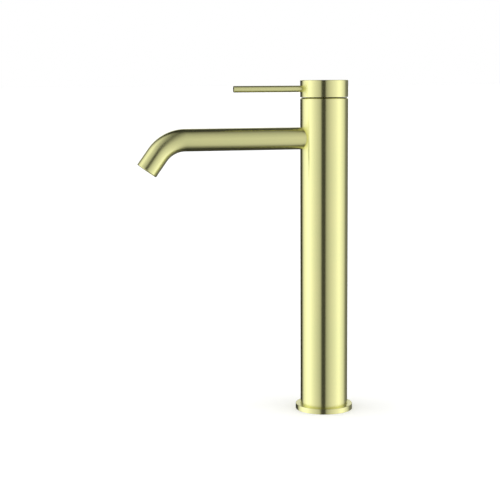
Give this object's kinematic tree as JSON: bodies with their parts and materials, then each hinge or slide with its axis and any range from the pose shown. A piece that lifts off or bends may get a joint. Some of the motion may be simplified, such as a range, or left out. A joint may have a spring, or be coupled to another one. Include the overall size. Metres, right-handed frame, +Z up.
{
  "type": "bathroom mixer faucet",
  "caption": "Tall round-column basin mixer with a tube spout that bends down at its end and a rod lever on a tilting, turning cap.",
  "frame": {"origin": "centre of the underside of the base, on the axis of the column, where the faucet stands on the deck", "axes": "+Z up along the column; -X along the spout and the lever, towards the user; +Y to the user's left, the hot side"},
  "size_m": [0.2046, 0.0544, 0.3146],
  "materials": {
    "brushed_gold": "brushed pale greenish gold PVD on brass",
    "raw_brass": "machined",
    "stainless": "brushed",
    "ceramic": "lapped white alumina ceramic",
    "plastic": "moulded natural acetal",
    "dark_plastic": "moulded glass-filled plastic",
    "rubber": "moulded"
  },
  "bodies": {
    "faucet_body": {"base_ring": "brushed_gold", "base_seal": "rubber", "column": "brushed_gold", "anchor_plate": "raw_brass", "valve_body": "raw_brass", "spout_tube": "brushed_gold", "aerator_shell": "stainless", "aerator_mesh": "stainless", "flow_former": "plastic", "aerator_washer": "rubber", "cartridge_base": "plastic", "port_seals": "rubber", "disc_seals": "rubber", "fixed_disc": "ceramic", "cartridge_housing": "plastic", "retaining_nut": "raw_brass", "cover_ring": "brushed_gold"},
    "turning_head": {"rotor": "dark_plastic", "neck_seal": "rubber", "pivot_pin": "stainless"},
    "handle": {"handle_cap": "brushed_gold", "lever_rod": "brushed_gold", "grub_screw": "stainless", "spindle": "raw_brass"},
    "disc_slider": {"disc_carrier": "dark_plastic", "moving_disc": "ceramic"}
  },
  "joints": [
    {"name": "handle_turn", "type": "hinge", "parent": "faucet_body", "child": "turning_head", "pos_m": [0, 0, 0.2868], "axis": [0, 0, 1], "range_deg": [-45, 45]},
    {"name": "handle_lift", "type": "hinge", "parent": "turning_head", "child": "handle", "pos_m": [0, 0, 0.2868], "axis": [0, 1, 0], "range_deg": [0, 25]},
    {"name": "disc_slide", "type": "slide", "parent": "turning_head", "child": "disc_slider", "axis": [1, 0, 0], "range_m": [-0.0039, 0]}
  ],
  "couplings": [
    {"joint": "disc_slide", "follows": "handle_lift", "m_per_rad": -0.00872}
  ]
}
